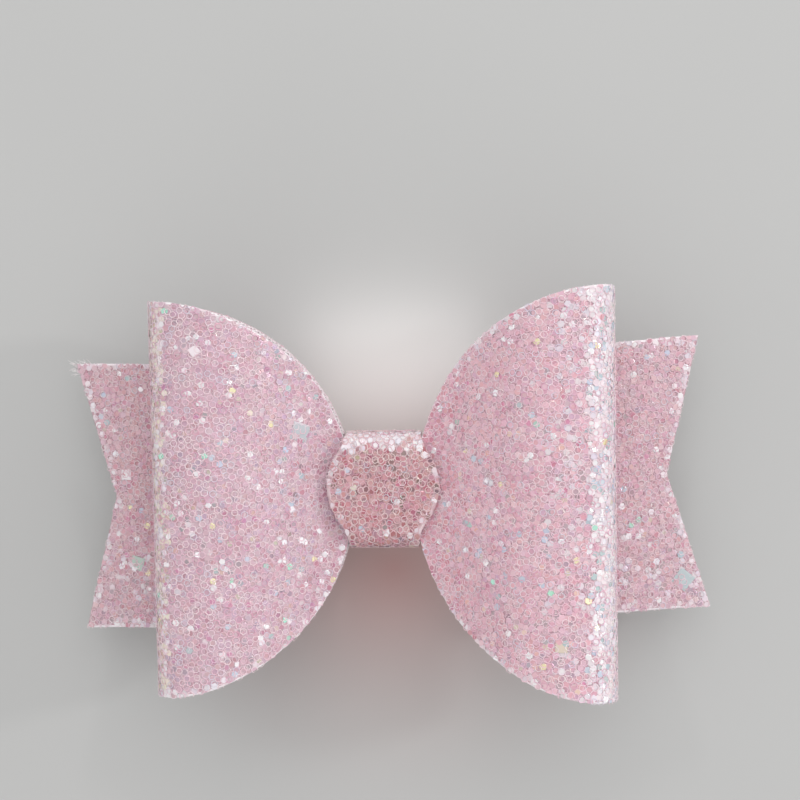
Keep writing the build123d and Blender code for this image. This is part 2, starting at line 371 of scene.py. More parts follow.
# Flake tones in sRGB with the share of flakes that each one has
PLAIN_PINK = (219, 186, 197)
FLAKE_TONES = (
    ("pale_pink", (224, 194, 205), 20),
    ("pink", (219, 184, 196), 24),
    ("deep_pink", (213, 174, 188), 14),
    ("blush", (229, 204, 213), 9),
    ("warm_pink", (220, 182, 190), 16),
    ("lilac", (208, 184, 201), 6),
    ("grey_lilac", (195, 174, 187), 5),
    ("smoke", (176, 162, 172), 2),
    ("magenta", (215, 152, 181), 2.6),
    ("rose", (202, 140, 164), 0.8),
    ("pale_green", (211, 214, 190), 0.8),
    ("grey_teal", (175, 178, 182), 1.4),
    ("straw", (229, 210, 190), 0.8),
    ("peach", (229, 194, 184), 1.2),
    ("white", (240, 231, 236), 1.3),
    ("pale_blue", (204, 208, 222), 1.2),
    ("flesh", (212, 164, 174), 3),
    ("dusk", (200, 146, 160), 1.5),
    ("wine", (194, 136, 153), 0.3),
    ("shade", (158, 140, 146), 0.3),
    ("frost", (188, 199, 203), 0.4),
    ("mint", (186, 208, 198), 0.3),
    ("veil", (229, 215, 222), 0.3),
    ("cream", (238, 226, 214), 0.2),
)
CLEAR_TONES = (
    ("white", (245, 235, 240), 0.43),
    ("pink", (238, 212, 224), 0.39),
    ("rose", (226, 178, 200), 0.1),
    ("blue", (222, 226, 238), 0.08),
)
RIM_TONES = (("bright_rim", (238, 218, 227)), ("soft_rim", (226, 198, 210)))
SPARK_TONES = (
    ("spark", (250, 246, 249), (280.0, 640.0)),
    ("mint_spark", (190, 240, 218), (300.0, 420.0)),
    ("gold_spark", (250, 240, 196), (420.0, 520.0)),
)
SPARK_SHARES = (0.84, 0.06, 0.10)
# Thickness of the film on a flake in nanometres, and the colours that it shines in
FOIL_FILM = (250.0, 620.0)
FILM_TINTS = (
    (0.0, (255, 214, 236)),
    (0.35, (214, 235, 255)),
    (0.6, (255, 246, 205)),
    (0.8, (214, 255, 226)),
    (1.0, (255, 220, 240)),
)
# How much of each colour is left on each strip, and how much of that tint the clear flakes take
# Painted light: the right lobe's flakes are tinted lighter and the left lobe's darker, evening out how
# the two lobes are lit
LEFT_LOBE_SHADE_TINT = (0.948, 0.932, 0.943)
RIGHT_LOBE_LIGHT_TINT = (1.035, 0.98, 0.985)
TAIL_TINT = (0.985, 0.95, 0.945)
# Painted shade: the knot's flakes are tinted darker and browner for the shade it lies in between the
# lobes
KNOT_SHADE_TINT = (0.915, 0.805, 0.79)
CLEAR_TINT_SHARE = 0.6
UNTINTED = ("white", "veil", "cream", "frost", "mint", "pale_blue")
# Tones that some parts of the bow have more of
COOL_PATCH_TONES = ("lilac", "grey_lilac", "smoke", "white", "grey_teal", "pale_green", "pale_blue")
PINK_PATCH_TONES = ("warm_pink", "deep_pink", "peach", "magenta")
EDGE_TONES = ("blush", "white", "veil", "veil")
# Pale flakes for the painted highlight on the right fold
FOLD_HIGHLIGHT_TONES = ("white", "white", "white", "veil", "veil", "pale_blue", "frost", "spark", "spark")
# Pale flakes for the painted highlight on the knot's upper bend
BEND_HIGHLIGHT_TONES = ("veil", "white", "white", "white")
GREY_TONES = ("grey_lilac", "lilac", "veil", "veil", "smoke")
# Pale warm flakes for the painted highlight on the left fold
LEFT_FOLD_HIGHLIGHT_TONES = ("cream", "cream", "cream", "straw", "white", "white", "peach", "pale_green")
CALM_TONES = ("pale_pink", "pink", "pink", "warm_pink")
# Deeper pink flakes for painted shade
ROSY_SHADE_TONES = ("flesh", "flesh", "deep_pink", "dusk", "wine")
SHADED_TONES = ("shade", "shade", "smoke", "dusk", "flesh", "wine")


# ---- measures read from the CAD

def low(node, axis):
    """Lowest coordinate of a CAD node, in millimetres."""
    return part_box(node)[0][axis] / MM


def high(node, axis):
    """Highest coordinate of a CAD node, in millimetres."""
    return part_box(node)[1][axis] / MM


X, Y, Z = 0, 1, 2
NECK_Y = (low("knot_glue", Y) + high("knot_glue", Y)) / 2
TAIL_LEVEL = low("tail_glue", Z) - FACE
LOOP_END_LEVEL = low("loop_end_glue", Z) - BACKING
LOOP_LAP_LEVEL = low("neck_glue", Z) - BACKING
NECK_LEVEL = low("knot_glue", Z) - FACE
KNOT_LEVEL = high("knot_glitter_face", Z) - FACE
WRAP_LAP_LEVEL = low("wrap_end_glue", Z) - BACKING
WRAP_END_LEVEL = high("wrap_end_glue", Z) + FACE
ARM_TOP = high("clip_ribbon_lining", Z) - RIBBON
ARM_BOTTOM = low("clip_ribbon_lining", Z) + RIBBON
RIBBON_TAIL_X = low("clip_ribbon_lining", X)
RIBBON_NOSE_X = high("clip_ribbon_lining", X)


# ---- paths and strips

class Path:
    """Straight runs joined by rounded corners in a plane, measured by the distance along them."""

    def __init__(self, corners, radii):
        corners = [np.array(corner, float) for corner in corners]
        self.starts, self.points, self.headings, self.bends = [], [], [], []
        self.length = 0.0
        here = corners[0]
        for index in range(1, len(corners)):
            run = corners[index] - here
            heading = math.atan2(run[1], run[0])
            if index == len(corners) - 1:
                self.add(here, heading, 0.0, np.linalg.norm(run))
                break
            ahead = corners[index + 1] - corners[index]
            turn = math.atan2(ahead[1], ahead[0]) - heading
            turn = (turn + math.pi) % (2 * math.pi) - math.pi
            radius = radii[index - 1]
            setback = radius * math.tan(abs(turn) / 2)
            self.add(here, heading, 0.0, np.linalg.norm(run) - setback)
            corner_start = corners[index] - setback * run / np.linalg.norm(run)
            self.add(corner_start, heading, math.copysign(1 / radius, turn), radius * abs(turn))
            here = corners[index] + setback * ahead / np.linalg.norm(ahead)

    def add(self, point, heading, bend, length):
        self.starts.append(self.length)
        self.points.append(point)
        self.headings.append(heading)
        self.bends.append(bend)
        self.length += length

    def at(self, distances):
        """Points and headings at these distances."""
        index = np.searchsorted(self.starts, distances, side="right") - 1
        index = np.clip(index, 0, len(self.starts) - 1)
        along = distances - np.array(self.starts)[index]
        bend = np.array(self.bends)[index]
        heading = np.array(self.headings)[index]
        chord = along * np.sinc(bend * along / (2 * math.pi))
        middle = heading + bend * along / 2
        points = np.array(self.points)[index]
        points = points + chord[:, None] * np.stack([np.cos(middle), np.sin(middle)], 1)
        return points, heading + bend * along


class Strip:
    """A sheet bent along a path: where each point of its flat cut lies.

    The path lies in the plane of `plane` and Z, and `across` runs along the other axis.
    glitter_side is +1 where the glitter is on the path's left and -1 where it is on its right.
    """

    def __init__(self, path, plane, glitter_side, edges, warp, key, notch=0.0):
        self.path = path
        self.plane = plane
        self.glitter_side = glitter_side
        self.edges = edges
        self.warp = warp
        self.key = key
        self.notch = notch
        self.flipped = self.is_flipped()

    def is_flipped(self):
        """True if distance, across and height make a left-handed set of directions here."""
        middle = np.full(1, self.path.length / 2)
        zero, step = np.zeros(1), 0.01
        here = self.place(middle, zero, zero)
        along = self.place(middle + step, zero, zero) - here
        sideways = self.place(middle, zero + step, zero) - here
        over = self.place(middle, zero, zero + step) - here
        return float((np.cross(along, sideways) * over).sum()) < 0

    def end_cut(self, across):
        """How far the strip's ends are cut in, most at the middle of a notch."""
        return self.notch * (1 - np.clip(np.abs(across) / TAIL_HALF_HEIGHT, 0, 1))

    def squeeze(self, s, across):
        """Distances along the strip once its ends are drawn in to their cut edges."""
        middle = self.path.length / 2
        out = np.clip(np.abs(s - middle) / middle * 2 - 1, 0, 1)
        return s - np.sign(s - middle) * self.end_cut(across) * out

    def limits(self, s):
        """Lowest and highest place across the strip at distances s."""
        points, _ = self.path.at(s)
        return self.edges(points)

    def place(self, s, across, height):
        """Points at distances s, places across, and heights over the path on the glitter side."""
        points, heading = self.path.at(s)
        normal = self.glitter_side * np.stack([-np.sin(heading), np.cos(heading)], 1)
        flat = points + height[:, None] * normal
        out = np.zeros((len(s), 3))
        out[:, self.plane] = flat[:, 0]
        out[:, 1 - self.plane] = across
        out[:, 2] = flat[:, 1]
        return self.warp(out, s, across)


def ripple(a, b, wavelength, seed, waves=7):
    """A smooth random height of about -1 to 1 over a plane."""
    rng = np.random.default_rng(seed)
    total = np.zeros_like(a, dtype=float)
    for _ in range(waves):
        angle, phase = rng.uniform(0, 2 * math.pi, 2)
        size = wavelength * rng.uniform(0.7, 1.5)
        total += np.sin(2 * math.pi * (a * math.cos(angle) + b * math.sin(angle)) / size + phase)
    return total / math.sqrt(waves) * 0.8


def smooth_step(value):
    value = np.clip(value, 0, 1)
    return value * value * (3 - 2 * value)


def loop_strip():
    fold_x = LOBE_FOLD_X - FACE
    crest = NECK_LEVEL + CREST_RISE
    fold_top = NECK_LEVEL + FOLD_TOP_RISE
    corners = [
        (STRIP_END_X, LOOP_END_LEVEL),
        (-BACK_BEND_X, LOOP_END_LEVEL),
        (-fold_x, FOLD_BOTTOM_Z),
        (-fold_x, fold_top),
        (-CREST_X, crest),
        (-NECK_HALF_LENGTH, NECK_LEVEL),
        (NECK_HALF_LENGTH, NECK_LEVEL),
        (CREST_X, crest),
        (fold_x, fold_top),
        (fold_x, FOLD_BOTTOM_Z),
        (BACK_BEND_X, LOOP_LAP_LEVEL),
        (-STRIP_END_X, LOOP_LAP_LEVEL),
    ]
    half = [BACK_RADIUS, FOLD_RADIUS, FOLD_RADIUS, CREST_RADIUS, NECK_RADIUS]

    def edges(points):
        reach = (np.abs(points[:, 0]) - LOBE_FOLD_X) / LOBE_HALF_LENGTH
        lobe = LOBE_HALF_HEIGHT * np.sqrt(np.clip(1 - reach * reach, 0, 1))
        lower = np.minimum(-lobe, NECK_Y - NECK_HALF_HEIGHT)
        upper = np.maximum(lobe, NECK_Y + NECK_HALF_HEIGHT)
        return lower, upper

    def warp(points, s, across):
        out = points.copy()
        x, y, z = points.T
        above = np.clip(z - FOLD_BOTTOM_Z, 0, None)
        lift = np.where(x > 0, RIGHT_LOBE_LIFT, LEFT_LOBE_LIFT) * np.abs(x) / LOBE_FOLD_X
        wave = LOBE_WAVE * ripple(s, across, LOBE_WAVELENGTH, 11) * smooth_step(above / LIFT_BLEND)
        to_right = smooth_step(x / NECK_HALF_LENGTH / 2 + 0.5)[:, None]
        cut = np.array(LEFT_LOBE_CUT) * (1 - to_right) + np.array(RIGHT_LOBE_CUT) * to_right
        out[:, 0] = x * (1 + cut[:, 2] * y)
        out[:, 1] = y * cut[:, 0] + cut[:, 1] * smooth_step(np.abs(x) / LOBE_FOLD_X * 2)
        out[:, 2] = z + above * lift + wave
        return out

    return Strip(Path(corners, half + half[::-1]), X, 1, edges, warp, 1)


def tail_strip():
    low_end = TAIL_LEVEL - TAIL_DROOP
    corners = [
        (-TAIL_HALF_LENGTH, low_end),
        (-TAIL_DROOP_X, TAIL_LEVEL),
        (TAIL_DROOP_X, TAIL_LEVEL),
        (TAIL_HALF_LENGTH, low_end),
    ]
    turn = math.radians(TAIL_TURN)

    def half_height(x):
        """Half of the strip's height at x, from the waist out to the shoulder and the corner."""
        rise = smooth_step((x - TAIL_WAIST_X) / (TAIL_SHOULDER_X - TAIL_WAIST_X))
        shoulder = NECK_HALF_HEIGHT + rise * (TAIL_SHOULDER_HALF_HEIGHT - NECK_HALF_HEIGHT)
        out = np.clip((x - TAIL_SHOULDER_X) / (TAIL_HALF_LENGTH - TAIL_SHOULDER_X), 0, 1)
        return shoulder + out * (TAIL_HALF_HEIGHT - TAIL_SHOULDER_HALF_HEIGHT)

    def edges(points):
        half = half_height(np.abs(points[:, 0]))
        return -half, half

    def warp(points, s, across):
        out = points.copy()
        x, y, z = points.T
        outside = smooth_step((np.abs(x) - TAIL_END_X) / TAIL_END_BLEND)
        z = z + TAIL_WAVE * outside * ripple(s, across, TAIL_WAVELENGTH, 23)
        y = y * TAIL_CUT_SHARE + TAIL_CUT_RISE * outside
        out[:, 0] = x * math.cos(turn) - y * math.sin(turn)
        out[:, 1] = x * math.sin(turn) + y * math.cos(turn) + NECK_Y
        out[:, 2] = z
        return out

    return Strip(Path(corners, [TAIL_DROOP_RADIUS] * 2), X, 1, edges, warp, 2, TAIL_NOTCH)


def knot_strip():
    side_y = KNOT_HALF_HEIGHT - FACE
    corners = [
        (-KNOT_END_Y, WRAP_END_LEVEL),
        (side_y, WRAP_END_LEVEL),
        (side_y, KNOT_LEVEL),
        (-side_y, KNOT_LEVEL),
        (-side_y, WRAP_LAP_LEVEL),
        (KNOT_END_Y, WRAP_LAP_LEVEL),
    ]
    radii = [KNOT_BACK_RADIUS, KNOT_FRONT_RADIUS, KNOT_FRONT_RADIUS, KNOT_BACK_RADIUS]
    stations = np.array(KNOT_FRONT_STATIONS)

    def edges(points):
        y, z = points.T
        shifts = np.linspace(-KNOT_SOFTENING, KNOT_SOFTENING, 9)
        front = np.mean([np.interp(y + shift, stations[:, 0], stations[:, 1]) for shift in shifts], 0)
        rise = smooth_step((z - TAIL_LEVEL) / KNOT_WIDENING)
        half = KNOT_END_HALF_WIDTH + (front - KNOT_END_HALF_WIDTH) * rise
        return -half, half

    def warp(points, s, across):
        out = points.copy()
        x, y, z = points.T
        side = np.clip(1 - (x / KNOT_DOME_HALF_WIDTH) ** 2, 0, 1)
        end = np.clip(1 - (y / KNOT_HALF_HEIGHT) ** 4, 0, 1)
        on_front = smooth_step((z - KNOT_LEVEL + KNOT_DOME_DEPTH) / KNOT_DOME_BLEND)
        out[:, 1] = y + NECK_Y
        wave = KNOT_WAVE * ripple(s, across, KNOT_WAVELENGTH, 37)
        out[:, 2] = z + on_front * (KNOT_DOME * side * end + wave)
        return out

    return Strip(Path(corners, radii), Y, -1, edges, warp, 3)


# ---- meshes

def new_mesh(name, points, groups, materials, closed=True):
    """An object from points in millimetres and groups of (faces, material index, smooth)."""
    corners = np.concatenate([faces.ravel() for faces, _, _ in groups]).astype(np.int32)
    sizes = np.concatenate([np.full(len(faces), faces.shape[1]) for faces, _, _ in groups])
    slots = np.concatenate([np.broadcast_to(slot, len(faces)) for faces, slot, _ in groups])
    smooth = np.concatenate([np.full(len(faces), flag) for faces, _, flag in groups])
    mesh = bpy.data.meshes.new(name)
    mesh.vertices.add(len(points))
    mesh.vertices.foreach_set("co", (np.asarray(points) * MM).astype(np.float32).ravel())
    mesh.loops.add(len(corners))
    mesh.loops.foreach_set("vertex_index", corners)
    mesh.polygons.add(len(sizes))
    starts = np.concatenate([[0], np.cumsum(sizes)[:-1]]).astype(np.int32)
    mesh.polygons.foreach_set("loop_start", starts)
    mesh.polygons.foreach_set("material_index", slots.astype(np.int32))
    mesh.update(calc_edges=True)
    mesh.polygons.foreach_set("use_smooth", smooth)
    mesh.validate()
    if closed and signed_volume(mesh) < 0:
        mesh.flip_normals()
    for material in materials:
        mesh.materials.append(material)
    made = bpy.data.objects.new(name, mesh)
    bpy.context.scene.collection.objects.link(made)
    return made


def signed_volume(mesh):
    mesh.calc_loop_triangles()
    points = np.zeros(len(mesh.vertices) * 3, np.float32)
    mesh.vertices.foreach_get("co", points)
    points = points.reshape(-1, 3).astype(float)
    corners = np.zeros(len(mesh.loop_triangles) * 3, np.int32)
    mesh.loop_triangles.foreach_get("vertices", corners)
    a, b, c = (points[corners.reshape(-1, 3)[:, k]] for k in range(3))
    return float((a * np.cross(b, c)).sum() / 6)


def grid_faces(rows, columns, start=0):
    """Quads over a grid of points that are numbered row by row."""
    row, column = np.meshgrid(np.arange(rows - 1), np.arange(columns - 1), indexing="ij")
    first = (start + row * columns + column).ravel()
    return np.stack([first, first + 1, first + columns + 1, first + columns], 1)


def rim_faces(rows, columns, start):
    """Quads that join the edges of two such grids, the second one's points numbered from start."""
    top = np.arange(rows * columns).reshape(rows, columns)
    loop = np.concatenate([top[0, :-1], top[:-1, -1], top[-1, :0:-1], top[:0:-1, 0]])
    after = np.roll(loop, -1)
    return np.stack([loop, loop + start, after + start, after], 1)


def wall_faces(rows, sides):
    """Quads between rows of points that each go once round."""
    k = np.arange(sides)
    after = (k + 1) % sides
    row = np.arange(rows - 1)[:, None] * sides
    walls = [row + k, row + after, row + sides + after, row + sides + k]
    return np.stack([wall.ravel() for wall in walls], 1)


def repeated(faces, count, step, flipped=False):
    """The same faces for each of many parts, whose points are numbered step after step."""
    starts = np.arange(count)[:, None, None] * step
    faces = (starts + faces).reshape(-1, faces.shape[1])
    return faces[:, ::-1] if flipped else faces


def tube_points(line, radii, sides, guide):
    """Points round a line; guide is any direction that the line never takes."""
    along = np.gradient(line, axis=0)
    along /= np.linalg.norm(along, axis=1)[:, None]
    u = np.cross(along, guide)
    u /= np.linalg.norm(u, axis=1)[:, None]
    v = np.cross(along, u)
    angle = np.arange(sides) * 2 * math.pi / sides
    ring = np.cos(angle)[:, None] * u[:, None] + np.sin(angle)[:, None] * v[:, None]
    return (line[:, None] + ring * radii[:, None, None]).reshape(-1, 3)


def capped_tube(name, points, sides, material):
    """A closed piece from rows of points that each go once round, with flat ends."""
    k = np.arange(sides)[None]
    groups = [
        (wall_faces(len(points) // sides, sides), 0, True),
        (k[:, ::-1], 0, False),
        (len(points) - sides + k, 0, False),
    ]
    return new_mesh(name, points, groups, [material])


def across_rows(count, fine):
    """Places from 0 to 1 across a sheet, with a few close together at each edge."""
    inner = np.linspace(2.5 * fine, 1 - 2.5 * fine, count)
    return np.concatenate([[0, fine], inner, [1 - fine, 1]])


def sheet_grid(strip, rows, fraction):
    """A strip's grid, row by row: distances, places from 0 to 1 across, and its edges there."""
    s = np.repeat(np.linspace(0, strip.path.length, rows), len(fraction))
    return s, np.tile(fraction, rows), *strip.limits(s)


def sheet_mesh(name, strip, s, across, tops, bottoms, shape, materials):
    """A closed mesh between two heights over a grid of places on a strip."""
    points = np.concatenate([strip.place(s, across, tops), strip.place(s, across, bottoms)])
    count = shape[0] * shape[1]
    column = np.tile(np.arange(shape[1] - 1), shape[0] - 1)
    border = ((column == 0) | (column == shape[1] - 2)).astype(int)
    groups = [
        (grid_faces(*shape), border, True),
        (grid_faces(*shape, count)[:, ::-1], 0, True),
        (rim_faces(*shape, count), 1, False),
    ]
    return new_mesh(name, points, groups, materials)


def ply(name, strip, bottom, top, spacing, count, trim, rough, materials):
    """One layer of a strip between two heights, with ragged, eased edges.

    trim is how far it stops short of the cut edge, and rough the height of its surface's bumps.
    """
    length = strip.path.length
    rows = max(8, int(length / spacing))
    width = np.ptp(strip.limits(np.array([length / WIDTH_DIVISOR])))
    fraction = across_rows(count, EDGE_BAND / width)
    s, f, lower, upper = sheet_grid(strip, rows, fraction)
    key = strip.key * 10
    lower = lower + trim + EDGE_RAGGED * ripple(s, 0 * s, EDGE_WAVE, key + 1)
    upper = upper - trim - EDGE_RAGGED * ripple(s, 0 * s, EDGE_WAVE, key + 2)
    across = lower + f * (upper - lower)
    to_end = np.minimum(s, length - s)
    s = strip.squeeze(s, across)
    to_edge = np.minimum(np.minimum(f, 1 - f) * (upper - lower), to_end)
    full = EDGE_FULLNESS + (1 - EDGE_FULLNESS) * smooth_step(to_edge / EDGE_EASE)
    bumps = rough * ripple(s, across, SURFACE_WAVE, key + 3) * smooth_step(to_edge / EDGE_BAND)
    middle, half = (top + bottom) / 2, (top - bottom) / 2
    tops = middle + half * full + bumps
    bottoms = middle - half * full
    return sheet_mesh(name, strip, s, across, tops, bottoms, (rows, len(fraction)), materials)


# ---- materials

def linear(colour):
    """An sRGB colour of 0 to 255 as the shader's linear colour."""
    c = np.array(colour, float) / 255
    c = np.where(c <= 0.04045, c / 12.92, ((c + 0.055) / 1.055) ** 2.4)
    return (*c, 1.0)


def between(one, other):
    """The colour halfway between two."""
    return tuple(0.5 * (a + b) for a, b in zip(one, other))


class Nodes:
    """Short names for building the node tree of a material or of the world.

    Each node is given back as the output that is used, and colours of ramps are in sRGB.
    """

    def __init__(self, owner, shader="Principled BSDF"):
        owner.use_nodes = True
        self.owner = owner
        self.tree = owner.node_tree
        self.shader = self.tree.nodes[shader]

    def feed(self, socket, value):
        """Joins another node's output to an input, or sets the input to a plain value."""
        if isinstance(value, bpy.types.NodeSocket):
            self.tree.links.new(value, socket)
        else:
            socket.default_value = value

    def node(self, kind, inputs=(), output=0, **settings):
        made = self.tree.nodes.new("ShaderNode" + kind)
        for key, value in settings.items():
            setattr(made, key, value)
        for name, value in dict(inputs).items():
            self.feed(made.inputs[name], value)
        return made.outputs[output]

    def finish(self, **inputs):
        """Sets the shader's inputs and gives back the tree's owner."""
        for name, value in inputs.items():
            self.feed(self.shader.inputs[name.replace("_", " ")], value)
        return self.owner

    def position(self, scale=(1, 1, 1), location=(0, 0, 0)):
        """The point in the object's own frame, stretched by scale and then moved."""
        source = self.node("TexCoord", output="Object")
        return self.node("Mapping", {"Vector": source, "Scale": scale, "Location": location})

    def noise(self, vector, scale, detail=3.0):
        inputs = {"Vector": vector, "Scale": scale, "Detail": detail, "Roughness": 0.55}
        return self.node("TexNoise", inputs, "Fac")

    def ramp(self, source, *stops):
        made = self.node("ValToRGB", {"Fac": source}, "Color")
        elements = made.node.color_ramp.elements
        while len(elements) < len(stops):
            elements.new(0.5)
        for element, (place, colour) in zip(elements, stops):
            element.position = place
            element.color = linear(colour)
        return made

    def bump(self, source, distance):
        return self.node("Bump", {"Height": source, "Distance": distance, "Strength": 1.0})

    def maths(self, operation, *values):
        return self.node("Math", enumerate(values), operation=operation)

    def scaled(self, source, start=0.0, end=1.0, low=0.0, high=1.0):
        """The source, with start to end brought to low to high."""
        limits = {"From Min": start, "From Max": end, "To Min": low, "To Max": high}
        return self.node("MapRange", {"Value": source, **limits})

    def mixed(self, factor, first, second):
        return self.node("Mix", {"Factor": factor, 6: first, 7: second}, 2, data_type="RGBA")


def material_nodes(name):
    return Nodes(bpy.data.materials.new(name))


def resin_material(name, colours, axis="Y", highlight_from=1.0, both_sides=True):
    """Tinted resin over buried flakes, which show as cells with lighter rims.

    It is painted pale as a highlight further out along the axis than highlight_from in metres.
    """
    pale, deep = colours
    n = material_nodes(name)
    place = n.position()
    inputs = {"Vector": place, "Scale": BURIED_FLAKES_PER_METRE}
    to_rim = n.node("TexVoronoi", inputs, "Distance", feature="DISTANCE_TO_EDGE")
    cells = n.node("TexVoronoi", inputs, "Color", feature="F1")
    body = n.ramp(n.node("SeparateColor", {"Color": cells}, "Red"), (0.0, deep), (1.0, pale))
    rimmed = n.mixed(n.scaled(to_rim, end=BURIED_RIM), linear(between(pale, BURIED_RIM_COLOUR)), body)
    along = n.node("SeparateXYZ", {"Vector": place}, axis)
    if both_sides:
        along = n.maths("ABSOLUTE", along)
    # Painted highlight: the resin turns pale past highlight_from
    highlight = n.scaled(along, highlight_from, highlight_from + HIGHLIGHT_BLEND)
    return n.finish(
        Base_Color=n.mixed(highlight, rimmed, linear(RESIN_HIGHLIGHT)),
        Normal=n.bump(to_rim, 0.00006),
        Roughness=0.3,
        Coat_Weight=0.4,
        Coat_Roughness=0.15,
    )


def cut_edge_material(name, colours):
    """The cut through resin and flakes: frosted white with specks of colour."""
    tint, pale = colours
    n = material_nodes(name)
    specks = n.noise(n.position(), 900.0, 2.0)
    specked = n.ramp(specks, (0.3, tint), (0.42, between(tint, pale)), (0.55, pale))
    return n.finish(Base_Color=specked, Normal=n.bump(specks, 0.0001), Roughness=0.4)


def canvas_material():
    """White plain-weave canvas, faintly pink where the resin shows through."""
    n = material_nodes("canvas")
    place = n.position()
    inputs = {"Vector": place, "Scale": WEAVE_SCALE, "Distortion": 0.6, "Detail": 1.0}
    settings = {"wave_type": "BANDS", "wave_profile": "SIN"}
    warp_thread = n.node("TexWave", inputs, "Fac", bands_direction="X", **settings)
    weft_thread = n.node("TexWave", inputs, "Fac", bands_direction="Y", **settings)
    weave = n.maths("MAXIMUM", warp_thread, weft_thread)
    relief = n.maths("MULTIPLY_ADD", n.noise(place, 2600.0, 4.0), 0.5, weave)
    shade = n.maths("MULTIPLY", weave, n.noise(place, 140.0))
    return n.finish(
        Base_Color=n.ramp(shade, (0.12, (203, 186, 190)), (0.4, (236, 226, 229)), (0.7, (246, 240, 241))),
        Normal=n.bump(relief, 0.00012),
        Roughness=0.9,
        Sheen_Weight=0.25,
        Sheen_Roughness=0.5,
    )


def fray_material():
    """Loose cotton threads at the cut edges."""
    n = material_nodes("fray")
    strands = n.noise(n.position(), 900.0, 2.0)
    colours = n.ramp(strands, (0.35, (226, 214, 217)), (0.65, (250, 247, 247)))
    return n.finish(Base_Color=colours, Roughness=0.85, Sheen_Weight=0.3)


def steel_material(name, colour, roughness):
    """Nickel-plated steel with fine rolling marks and faint stains."""
    n = material_nodes(name)
    marks = n.noise(n.position((60.0, 2500.0, 2500.0)), 1.0, 4.0)
    stained = tuple(0.94 * part for part in colour)
    return n.finish(
        Base_Color=n.ramp(n.noise(n.position(), 220.0), (0.3, stained), (0.65, colour)),
        Roughness=n.scaled(marks, low=roughness * 0.85, high=roughness * 1.2),
        Normal=n.bump(marks, 0.000005),
        Metallic=1.0,
    )


def ribbon_material():
    """Pale pink grosgrain: matt threads with a soft sheen."""
    n = material_nodes("grosgrain")
    threads = n.noise(n.position((1.0, 6.0, 6.0)), 1500.0)
    shade = n.maths("MULTIPLY", threads, n.noise(n.position(), 150.0, 2.0))
    return n.finish(
        Base_Color=n.ramp(shade, (0.1, (226, 190, 200)), (0.3, (240, 208, 216)), (0.5, (247, 222, 228))),
        Normal=n.bump(threads, 0.00005),
        Roughness=0.6,
        Sheen_Weight=0.4,
        Sheen_Roughness=0.35,
    )


def glue_material():
    """Hot-melt glue: milky and half clear, with faint swirls."""
    n = material_nodes("hot_melt")
    swirl = n.noise(n.position(), 320.0, 2.0)
    return n.finish(
        Base_Color=n.ramp(swirl, (0.3, (232, 226, 214)), (0.7, (246, 243, 236))),
        Normal=n.bump(swirl, 0.00006),
        Roughness=0.22,
        Subsurface_Weight=0.35,
        Subsurface_Scale=0.001,
    )


def floor_material():
    """Plain pale table top with a pink shadow painted on it under the bow."""
    n = material_nodes("table_top")
    plain = n.ramp(n.noise(n.position(), 9.0, 2.0), (0.3, FLOOR_DARK), (0.7, FLOOR_PALE))
    # Painted shadow: the floor turns pink towards a spot under the bow
    scale = [1 / reach for reach in PAINTED_SHADOW_REACH]
    place = n.position(scale, (0.0, -PAINTED_SHADOW_Y * scale[1], 0.0))
    shadow_spot = n.node("TexGradient", {"Vector": place}, "Fac", gradient_type="QUADRATIC_SPHERE")
    colours = n.mixed(shadow_spot, plain, linear(PAINTED_SHADOW_COLOUR))
    return n.finish(Base_Color=colours, Roughness=0.6, Specular_IOR_Level=0.2)


def room_light():
    """Even surroundings, brighter towards the horizon and more so towards the bright side."""
    n = Nodes(bpy.data.worlds.new("surroundings"), "Background")
    direction = n.node("TexCoord", output="Generated")
    height = n.node("SeparateXYZ", {"Vector": direction}, "Z")
    facing = n.node("VectorMath", {0: direction, 1: BRIGHT_SIDE}, "Value", operation="DOT_PRODUCT")
    by_height = n.scaled(height, low=HORIZON_STRENGTH, high=ZENITH_STRENGTH)
    by_side = n.scaled(facing, start=-1.0, low=FAR_SHARE, high=NEAR_SHARE)
    return n.finish(Color=(1.0, 1.0, 1.0, 1.0), Strength=n.maths("MULTIPLY", by_height, by_side))


def flake_material(name, colour, roughness, metallic, film):
    """A translucent foil flake: its own tone under a thin film that differs from flake to flake."""
    n = material_nodes(name)
    each = n.node("NewGeometry", output="Random Per Island")
    return n.finish(
        Base_Color=linear(colour),
        Roughness=roughness,
        Metallic=metallic,
        Specular_Tint=n.ramp(each, *FILM_TINTS),
        Specular_IOR_Level=0.7,
        Thin_Film_Thickness=n.scaled(each, low=film[0], high=film[1]),
        Thin_Film_IOR=1.45,
        Coat_Weight=0.35,
        Coat_Roughness=0.12,
    )


# ---- flakes

TONE_NAMES = [name for name, _, _ in FLAKE_TONES]
RIM_SLOT = len(FLAKE_TONES)
SPARK_SLOTS = tuple(RIM_SLOT + len(RIM_TONES) + index for index in range(len(SPARK_TONES)))
# Flakes whose rims have the same tone as their faces
PLAIN_RIMMED = SPARK_SLOTS + tuple(TONE_NAMES.index(name) for name in UNTINTED)
PALETTE_NAMES = TONE_NAMES + [tone[0] for tone in RIM_TONES + SPARK_TONES]

